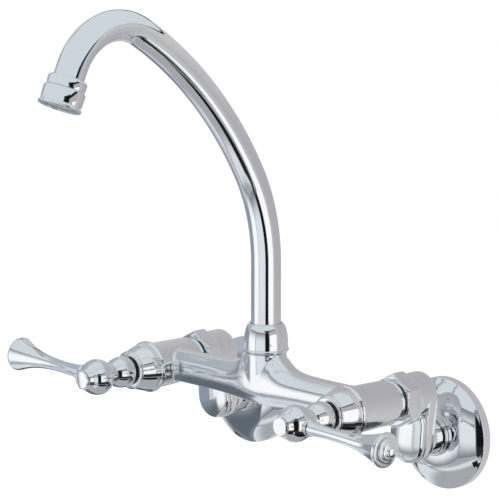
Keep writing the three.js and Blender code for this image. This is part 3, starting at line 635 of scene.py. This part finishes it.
def leverArm(foot):
    size = leverSize
    reach, waist, disc, bead, root = sizesOf(size, "reach waist disc bead root")
    neck, ball = hubSize["neck"], hubSize["ball"]
    waistAt, flareEnd, steps = size["waistAt"] * reach, reach - size["discEdge"], size["flareSteps"]
    flare = [(waist + (disc - waist) * (i / steps) ** size["flarePower"],
              waistAt + (flareEnd - waistAt) * i / steps) for i in range(steps + 1)]
    inner, soft, (thicker, taperAt) = bead - size["beadInset"], size["discRound"], size["taper"]
    arm = turned("leverArm", foot, rightward,
                 [(inner, neck), (inner, ball + size["beadFrom"]),
                  *arc(bead - size["beadRound"], ball + size["beadAt"], size["beadRound"], -70, 70, 6),
                  (root, ball + size["rootFrom"]), (root, ball + size["rootTo"]),
                  (waist + thicker, taperAt * waistAt), *flare,
                  *arc(disc - soft, reach - soft, soft, 0, 85, 8), (size["pit"], reach)],
                 around=size["around"])
    roundEdges(arm, size["edge"])
    return arm


def leverTip(foot):
    size = tipSize
    disc, (step, soft, shares) = leverSize["disc"], sizesOf(size, "step round shares")
    base = leverSize["reach"] + size["gap"]
    profile = [(shares[0] * disc - size["foot"], base)]
    for level, (share, above) in enumerate(zip(shares, shares[1:]), 1):
        height = base + level * step
        profile += [*arc(share * disc - soft, height - soft, soft, 0, 90, 6), (above * disc, height)]
    profile.append((shares[-1] * disc, base + len(shares) * step))
    profile += [(share * disc, base + height * step) for share, height in size["crown"]]
    tip = turned("rightLeverTip", foot, rightward, profile, around=leverSize["around"])
    return softened(tip, size["edge"])


def indexButton():
    size = buttonSize
    plate, front = hubSize["face"] - size["gap"], hubSize["rear"] + hubSize["faceAhead"]
    topRadius, topAhead = size["top"]
    button = turned("rightIndexButton", valveFoot(1), roomward,
                    [*((plate + out, front + ahead) for out, ahead in size["profile"]),
                     (topRadius, front + topAhead)], around=leverSize["around"])
    smooth(button)
    return button


def lever():
    # the hub is crisp and the arm softly buffed, so each keeps its own chrome in the joined casting
    foot = (valveX, -hubSize["rear"] - hubSize["ballAhead"], valveHeight)
    hub, arm = leverHub(), leverArm(foot)
    hub.data.materials.append(chrome)
    arm.data.materials.append(castChrome)
    piece = joined("rightLever", hub, arm)
    smooth(piece)
    return piece, leverTip(foot), indexButton()


onBothValves(bonnet(), "bonnet")
for part, node in zip(lever(), ("lever", "lever_tip", "index_button")):
    turnedOnBothValves(part, "right", (leverTilt, 180 + leverTilt), "handle", node,
                       None if node == "lever" else chrome)
print("stage: valves and levers")


unionSize = {"low": 50.1, "high": 63.1, "corner": 20.0, "chamfer": 1.6, "ease": 0.2, "lip": 2.4,
             "thread": 16.5, "throat": 12.4, "edge": 0.25, "edgesAbove": 22, "smoothBelow": 20}


def unionNut():
    # a hexagon cut to a chamfered cone, then bored from behind up to its lip
    size = unionSize
    low, high, corner, chamfer, ease = sizesOf(size, "low high corner chamfer ease")
    flat, throatFrom, foot = corner * math.cos(math.radians(30)), high - size["lip"], valveFoot(-1)
    cone = turned("nutCone", foot, roomward,
                  [(flat - ease, low), (corner + ease, low + chamfer),
                   (corner + ease, high - chamfer), (flat - ease, high)])
    hexagon = turned("leftUnionNut", foot, roomward, [(corner, low - 1), (corner, high + 1)], around=6)
    applied(hexagon, "BOOLEAN", operation="INTERSECT", object=cone, solver="EXACT")
    bore = turned("nutBore", foot, roomward,
                  [(size["thread"], low - 2), (size["thread"], throatFrom),
                   (size["throat"], throatFrom), (size["throat"], high + 2)])
    applied(hexagon, "BOOLEAN", operation="DIFFERENCE", object=bore, solver="EXACT")
    bpy.data.objects.remove(cone)
    bpy.data.objects.remove(bore)
    roundEdges(hexagon, size["edge"], angle=size["edgesAbove"], segments=2)
    smooth(hexagon, size["smoothBelow"])
    return hexagon


armSize = {"drum": 17.0, "end": 16.0, "back": 33.0, "thickness": 8.6, "front": 49.8, "edge": 0.8,
           "drumSunk": 1.0, "drumEdge": 0.6, "stub": 16.2, "stubEnd": 55.4, "stubBore": (8.0, 6.0)}
bossSize = {"radius": 15.6, "sunk": 0.6, "groove": 0.9, "grooveEnd": 0.5, "wallFrom": 0.8, "wall": 1.9,
            "round": 3.0, "slope": 17.0, "capSteps": 12, "middle": 0.3, "rise": 13.0}
plugSize = {"radius": 8.6, "height": 0.8, "chamfer": 0.3, "socket": 3.4, "depth": 2.0, "sunk": 1.0}
couplingSize = {"radius": 13.0, "foot": 1.0, "armGap": 0.3, "spigot": 10.4, "spigotLength": 7.0,
                "bore": 4.6, "inlet": 9.4, "inletEnd": 17.0, "boreFrom": 19.0, "edge": 0.4}
armBack, armFace = armSize["back"], armSize["back"] + armSize["thickness"]
leftSupply = valveFoot(-1) - upward * armDrop


def armPlate():
    # a disc cut in half, its lower half drawn down to the supply axis and narrowed, then extruded
    size = armSize
    centre = valveFoot(-1)
    middle = (centre + roomward * armBack) * mm
    hair = 0.01   # keeps the vertices at half height in the upper half
    deselectAll()
    bpy.ops.mesh.primitive_circle_add(vertices=128, radius=size["drum"] * mm, fill_type="NGON",
                                      location=middle, rotation=(math.radians(90), 0, 0))
    plate = bpy.context.object
    plate.name = "armPlate"
    settle(plate)
    editAll("VERT")
    selectWhere(plate, lambda p: p.z < valveHeight - hair)
    share = size["end"] / size["drum"]
    bpy.ops.transform.resize(value=(share, 1, share), center_override=middle)
    bpy.ops.transform.translate(value=upward * -armDrop * mm)
    editAll("FACE")
    extruded(roomward * size["thickness"] * mm)
    cleaned()
    roundEdges(plate, size["edge"], segments=4)
    return plate


def armDrum():
    size = armSize
    bore, boreDepth = size["stubBore"]
    drum = turned("armDrum", valveFoot(-1), roomward,
                  [(size["drum"], armFace - size["drumSunk"]), (size["drum"], size["front"]),
                   (size["stub"], size["front"]), (size["stub"], size["stubEnd"]),
                   (bore, size["stubEnd"]), (bore, size["stubEnd"] - boreDepth)])
    roundEdges(drum, size["drumEdge"])
    return drum


def armBoss():
    # a low wall that rounds over into a shallow cap, with its upper half drawn up to the drum
    size = bossSize
    wide, soft, slope, steps = size["radius"], size["round"], math.radians(size["slope"]), size["capSteps"]
    wall = armFace + size["wall"]
    ball = (wide - soft) / math.sin(slope) + soft
    rim = wall + soft * math.cos(slope)
    cap = [(ball * math.sin(slope * i / steps), rim + ball * (math.cos(slope * i / steps) - math.cos(slope)))
           for i in range(steps - 1, 0, -1)]
    inner, hair = wide - size["groove"], 0.01
    boss = turned("armBoss", leftSupply, roomward,
                  [(inner, armFace - size["sunk"]), (inner, armFace + size["grooveEnd"]),
                   (wide, armFace + size["wallFrom"]),
                   *arc(wide - soft, wall, soft, 0, 90 - size["slope"], 8), *cap,
                   (size["middle"], rim + ball * (1 - math.cos(slope)))], around=128)
    pick(boss)
    editAll("VERT")
    selectWhere(boss, lambda p: p.z > leftSupply.z + hair)
    bpy.ops.transform.translate(value=upward * size["rise"] * mm)
    bpy.ops.object.mode_set(mode="OBJECT")
    return boss


def swingArm():
    arm = joined("leftSwingArm", armPlate(), armDrum(), armBoss())
    smooth(arm)
    size = plugSize
    outer, chamfer = size["height"] - armBack, size["chamfer"]
    plug = turned("leftArmPlug", valveFoot(-1), -roomward,
                  [(size["radius"], -armBack - size["sunk"]), (size["radius"], outer - chamfer),
                   (size["radius"] - chamfer, outer), (size["socket"], outer),
                   (size["socket"], -armBack - size["depth"])])
    smooth(plug)
    size = couplingSize
    inlet, wide, spigot, bore, foot = sizesOf(size, "inlet radius spigot bore foot")
    shoulder, end = armBack - size["armGap"], armBack + size["spigotLength"]
    coupling = turned("leftSupplyCoupling", leftSupply, roomward,
                      [(inlet, foot), (wide, foot), (wide, shoulder), (spigot, shoulder), (spigot, end),
                       (bore, end), (bore, size["boreFrom"]), (inlet, size["inletEnd"])], hollow=True)
    softened(coupling, size["edge"])
    return arm, plug, coupling


flangeSize = {"radius": 40.5, "rim": 7.0, "height": 15.6, "neck": 15.4, "wall": 1.4, "bore": 13.4,
              "foot": 2.1, "chamfer": 0.4, "rimStep": (1.4, 0.8), "bulge": 2.4, "slopeSteps": 24,
              "lip": 2.0, "hollowShift": (0.4, 0.3), "hollowRim": (1.8, 1.0), "edge": 0.3, "around": 160}
ringSize = {"gap": 0.3, "bore": 13.4, "radius": 14.2, "foot": 14.5, "top": 13.9, "height": 3.6,
            "largeBead": (0.9, 0.8), "waistAt": 1.8, "smallBead": (2.7, 0.5)}


def wallFlange():
    size = flangeSize
    wide, rim, height, bore = sizesOf(size, "radius rim height bore")
    (stepIn, stepUp), chamfer = size["rimStep"], size["chamfer"]
    start, low = wide - stepIn, rim + stepUp
    slope = []
    for i in range(size["slopeSteps"] + 1):
        t = i / size["slopeSteps"]
        slope.append((start - (start - size["neck"]) * t,
                      low + (height - low) * (1 - (1 - t) ** size["bulge"])))
    (inward, deeper), (rimIn, rimDown) = sizesOf(size, "hollowShift hollowRim")
    inside = [(r - inward, h - size["wall"] - deeper) for r, h in reversed(slope[1:-1])]
    flange = turned("leftWallFlange", leftSupply, roomward,
                    [(wide - size["foot"], 0), (wide - chamfer, 0), (wide, chamfer), (wide, rim), *slope,
                     (bore, height), (bore, height - size["lip"]), *inside, (wide - rimIn, rim - rimDown)],
                    around=size["around"], hollow=True)
    return softened(flange, size["edge"])


def neckRing():
    # two beads, the larger one next to the flange
    size = ringSize
    low, bore, wide = flangeSize["height"] + size["gap"], size["bore"], size["radius"]
    (largeAt, large), (smallAt, small) = size["largeBead"], size["smallBead"]
    high = low + size["height"]
    ring = turned("leftNeckRing", leftSupply, roomward,
                  [(bore, low), (size["foot"], low), *arc(wide, low + largeAt, large, -60, 60, 6),
                   (wide, low + size["waistAt"]), *arc(wide, low + smallAt, small, -60, 60, 5),
                   (size["top"], high), (bore, high)], hollow=True)
    smooth(ring)
    return ring


onBothValves(unionNut(), "union_nut")
armNodes = ("swing_arm", "arm_plug", "supply_coupling")
armParts = [(part, node, "arm") for part, node in zip(swingArm(), armNodes)]
armParts += [(wallFlange(), "wall_flange", "flange"), (neckRing(), "neck_ring", "flange")]
for part, node, body in armParts:
    turnedOnBothValves(part, "left", (-armTurn, armTurn), body, node,
                       castChrome if node == "swing_arm" else chrome)
print("stage: arms and flanges")


keptNodes = {"spout_shank": brass, "spout_lower_seal": rubber, "spout_upper_seal": rubber,
             "spout_glide_washer": nylon, "outlet_washer": rubber, "aerator_insert": acetal}
for name in sides:
    keptNodes.update({name + "_cartridge": brass, name + "_valve_stem": brass,
                      name + "_handle_screw": steel, name + "_glide_ring": nylon,
                      name + "_union_washer": rubber})
for name, material in keptNodes.items():
    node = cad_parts[name]
    node.data.materials.clear()
    node.data.materials.append(material)
print("stage: kept solids")


def aimed(name, data, place, target):
    item = bpy.data.objects.new(name, data)
    bpy.context.scene.collection.objects.link(item)
    item.location = place
    item.rotation_euler = (Vector(target) - Vector(place)).to_track_quat("-Z", "Y").to_euler()
    return item


# the photograph's viewpoint, with distance and target in metres
view = {"azimuth": 45.6, "elevation": 10.6, "distance": 2.5, "target": (0.0, -0.103, 0.133),
        "lens": 253.1, "farthest": 100}


def photoCamera():
    azimuth, elevation = math.radians(view["azimuth"]), math.radians(view["elevation"])
    level = math.cos(elevation)
    back = Vector((math.sin(azimuth) * level, -math.cos(azimuth) * level, math.sin(elevation)))
    data = bpy.data.cameras.new("photoCamera")
    data.lens = view["lens"]
    data.clip_end = view["farthest"]
    return aimed("photoCamera", data, Vector(view["target"]) + back * view["distance"], view["target"])


bpy.context.scene.camera = photoCamera()

# The studio is a small light tent. Its cards show only in the metal, and the camera sees the bare backdrop.
# Azimuth 0 is towards the room and 90 to the right. Each upright card stands on the circle round the spout
# column from one azimuth to the other: azimuths, distance, bottom and top, the tones of its face and edge,
# the share of its width and of its height over which one becomes the other, and its strength if that isn't 1.
# A mat lies on the table: two opposite corners, the same tones and shares. The board hangs behind the wall.
studio = {
    "backdrop": "#FFFFFF",
    "diffuseLevel": 0.6,
    "floor": {"height": -900, "halfWidth": 60000, "colour": "#F4F5F6", "lift": 0.47,
              "roughness": 0.9, "specular": 0.1},
    "lamp": {"place": (-700, -1300, 1500), "target": (0, -100, 100), "width": 1200, "watts": 16},
    "dome": {"radius": 800, "rim": 120, "colour": "#DAE2E6"},
    "table": {"halfWidth": 900, "height": -380, "colour": "#AEB0B3"},
    "matGap": (4, 2),   # height of the lowest mat above the table, and of each further one above the last
    "mats": {
        "leftMat": ((-950, -650), (-190, 420), "#E3E7EE", "#AEB0B3", (0.2, 0.2)),
        "paleMat": ((-420, -520), (420, -330), "#E4E8EA", "#AEB0B3", (0.2, 0.45)),
        "rightMat": ((230, -420), (395, 160), "#16181B", "#3A3D41", (0.05, 0.1)),
        "rearMat": ((-60, 90), (700, 560), "#4A4D52", "#8A8D92", (0.2, 0.4)),
    },
    "board": {"left": -300, "right": 400, "bottom": -62, "top": 356, "behind": 4,
              "face": ("#B7B5B9", "#D0CECD"), "edge": ("#17171A", "#17171A"),
              "edgeWidth": 6, "edgeBehind": 1, "soft": (0.4, 0.4)},
    "cards": {
        "leftSoftbox": ((-54, -8), 460, (-300, 225), "#FFFFFF", "#858B92", (0.14, 0.36), 1.08),
        "middlePanel": ((-12, 42), 480, (-300, 225), "#E8EDF0", "#858B92", (0.05, 0.36)),
        "rightSoftbox": ((61, 108), 460, (-165, 170), "#FFFEFB", "#3A3B3E", (0.16, 0.06), 1.10),
        "rightScreen": ((61, 140), 475, (150, 268), "#BBB5B7", "#A8A2A4", (0.05, 0.1)),
        "rightRail": ((61, 132), 470, (258, 316), "#1C1D20", "#1C1D20", (0.05, 0.2)),
        "cameraGap": ((41, 68), 500, (-215, 255), "#15171A", "#15171A", (0.05, 0.05)),
        "cameraHead": ((38, 62), 485, (255, 338), "#1D1A1B", "#1D1A1B", (0.1, 0.1)),
        "rightShade": ((42, 133), 490, (-300, -150), "#2A2C30", "#2A2C30", (0.05, 0.1)),
        "leftWall": ((-122, -90), 520, (-380, -90), "#4A5159", "#8E949B", (0.2, 0.12)),
        "leftFront": ((-94, -56), 516, (-380, -50), "#D3D7E1", "#9EA4AE", (0.2, 0.12)),
        "flangeShade": ((-117, -60), 195, (-150, -30), "#646D77", "#8A9298", (0.12, 0.3)),
        "leftPanel": ((-122, -56), 524, (-150, 120), "#959CAA", "#8E949B", (0.16, 0.12)),
        "leftGlow": ((-128, -102), 505, (-120, 60), "#F2F4F6", "#8E949B", (0.12, 0.12)),
        "leftScreen": ((-120, -60), 530, (120, 430), "#B4BAC2", "#9BA1A8", (0.12, 0.12)),
        "leftRail": ((-114, -64), 540, (545, 600), "#26282C", "#75797F", (0.15, 0.3)),
        "rearShade": ((-158, -114), 600, (380, 560), "#3F4247", "#6A6E74", (0.2, 0.2)),
    },
}


def glowing(name, face, edge, soft, strength):
    # a card's paint: an even glow that falls to the edge's tone
    material, tree, shader = newMaterial(name)
    place = addNode(tree, "ShaderNodeTexCoord")
    spot = addNode(tree, "ShaderNodeSeparateXYZ", {"Vector": (place, "UV")})
    half = 0.5
    inside = []
    for side, fall in zip("XY", soft):
        centred = addNode(tree, "ShaderNodeMath", {0: (spot, side)}, operation="SUBTRACT")
        centred.inputs[1].default_value = half
        offset = addNode(tree, "ShaderNodeMath", {0: (centred, 0)}, operation="ABSOLUTE")
        inside.append(addNode(tree, "ShaderNodeMapRange", {"Value": (offset, 0)},
                              interpolation_type="SMOOTHSTEP", **{"From Min": half, "From Max": half - fall}))
    both = addNode(tree, "ShaderNodeMath", {0: (inside[0], 0), 1: (inside[1], 0)}, operation="MULTIPLY")
    tone = twoTones(tree, (both, 0), linear(edge), linear(face))
    glow = addNode(tree, "ShaderNodeEmission", {"Color": (tone, mixSockets["result"])}, Strength=strength)
    tree.links.new(glow.outputs[0], tree.nodes["Material Output"].inputs["Surface"])
    tree.nodes.remove(shader)
    material.cycles.emission_sampling = "NONE"
    return material


def sheet(middle, width, height, turn=(0, 0, 0)):
    # a plane of the given size round its middle
    deselectAll()
    bpy.ops.mesh.primitive_plane_add(size=mm, location=Vector(middle) * mm, rotation=turn)
    bpy.context.object.scale = (width, height, 1)
    return bpy.context.object


def asCard(item, name, face, edge, soft=(0.05, 0.05), strength=1.0):
    # stage furniture that only shiny surfaces see
    item.name = name
    settle(item)
    item.data.materials.append(glowing(name + "Glow", face, edge, soft, strength))
    item.visible_camera = item.visible_diffuse = item.visible_shadow = False


def lightTent():
    upright = math.radians(90)
    for name, (azimuths, distance, (bottom, top), *paint) in studio["cards"].items():
        ends = [Vector((math.sin(a) * distance, -columnToWall - math.cos(a) * distance, 0))
                for a in map(math.radians, azimuths)]
        middle, across = (ends[0] + ends[1]) / 2, ends[1] - ends[0]
        card = sheet(middle + upward * (bottom + top) / 2, across.length, top - bottom,
                     (upright, 0, math.atan2(across.y, across.x)))
        asCard(card, name, *paint)
    board = studio["board"]
    width, height = board["right"] - board["left"], board["top"] - board["bottom"]
    for name, tone, spread, behind in (("boardFace", "face", 0.0, 0.0),
                                       ("boardEdge", "edge", board["edgeWidth"], board["edgeBehind"])):
        middle = ((board["left"] + board["right"]) / 2, board["behind"] + behind,
                  (board["top"] + board["bottom"]) / 2)
        asCard(sheet(middle, width + 2 * spread, height + 2 * spread, (upright, 0, 0)), name,
               *board[tone], board["soft"])
    table = studio["table"]
    asCard(sheet(upward * table["height"], 2 * table["halfWidth"], 2 * table["halfWidth"]), "tableTop",
           table["colour"], table["colour"])
    lowest, apart = studio["matGap"]
    for i, (name, (first, last, *paint)) in enumerate(studio["mats"].items()):
        middle = (Vector(first) + Vector(last)) / 2
        mat = sheet((*middle, table["height"] + lowest + apart * i), last[0] - first[0], last[1] - first[1])
        asCard(mat, name, *paint)
    dome = studio["dome"]
    deselectAll()
    bpy.ops.mesh.primitive_uv_sphere_add(segments=48, ring_count=24, radius=dome["radius"] * mm)
    editAll("VERT")
    bpy.ops.mesh.bisect(plane_co=upward * dome["rim"] * mm, plane_no=upward, clear_inner=True)
    bpy.ops.object.mode_set(mode="OBJECT")
    asCard(bpy.context.object, "tentDome", dome["colour"], dome["colour"])


def seenDirectly(tree):
    # 1 for rays of the camera and of shiny or clear surfaces, and 0 for all others
    rays = addNode(tree, "ShaderNodeLightPath")
    shiny = addNode(tree, "ShaderNodeMath", {0: (rays, "Is Glossy Ray"), 1: (rays, "Is Transmission Ray")},
                    operation="MAXIMUM")
    return addNode(tree, "ShaderNodeMath", {0: (rays, "Is Camera Ray"), 1: (shiny, 0)}, operation="MAXIMUM")


def paleWorld():
    # shiny and camera rays see the white backdrop, everything else gets a plain level
    world = bpy.data.worlds.new("paleWorld")
    world.use_nodes = True
    bpy.context.scene.world = world
    tree = world.node_tree
    plain = (studio["diffuseLevel"],) * 3 + (1.0,)
    tone = twoTones(tree, (seenDirectly(tree), 0), plain, linear(studio["backdrop"]))
    tree.links.new(tone.outputs[mixSockets["result"]], tree.nodes["Background"].inputs["Color"])


def paleFloor():
    # white paper, to the camera and in metal, with the soft shadow taken from the light that falls on it
    size = studio["floor"]
    floor = sheet(upward * size["height"], 2 * size["halfWidth"], 2 * size["halfWidth"])
    floor.name = "paleFloor"
    settle(floor)
    material, tree, shader = newMaterial("whitePaper")
    shader.inputs["Base Color"].default_value = linear(size["colour"])
    shader.inputs["Roughness"].default_value = size["roughness"]
    shader.inputs["Specular IOR Level"].default_value = size["specular"]
    lift = addNode(tree, "ShaderNodeMath", {0: (seenDirectly(tree), 0)}, operation="MULTIPLY")
    lift.inputs[1].default_value = size["lift"]
    glow = addNode(tree, "ShaderNodeEmission", {"Strength": (lift, 0)}, Color=linear(studio["backdrop"]))
    both = addNode(tree, "ShaderNodeAddShader", {0: (shader, 0), 1: (glow, 0)})
    tree.links.new(both.outputs[0], tree.nodes["Material Output"].inputs["Surface"])
    material.cycles.emission_sampling = "NONE"
    floor.data.materials.append(material)


def softLamp():
    # one wide lamp from the upper left, which metal shows only as the cards
    size = studio["lamp"]
    data = bpy.data.lights.new("softLamp", "AREA")
    data.shape = "DISK"
    data.size = size["width"] * mm
    data.energy = size["watts"]
    lamp = aimed("softLamp", data, Vector(size["place"]) * mm, Vector(size["target"]) * mm)
    lamp.visible_glossy = False
    lamp.visible_transmission = False


lightTent()
paleFloor()
softLamp()
paleWorld()

bpy.context.scene.view_settings.view_transform = "Standard"
print("stage: studio")
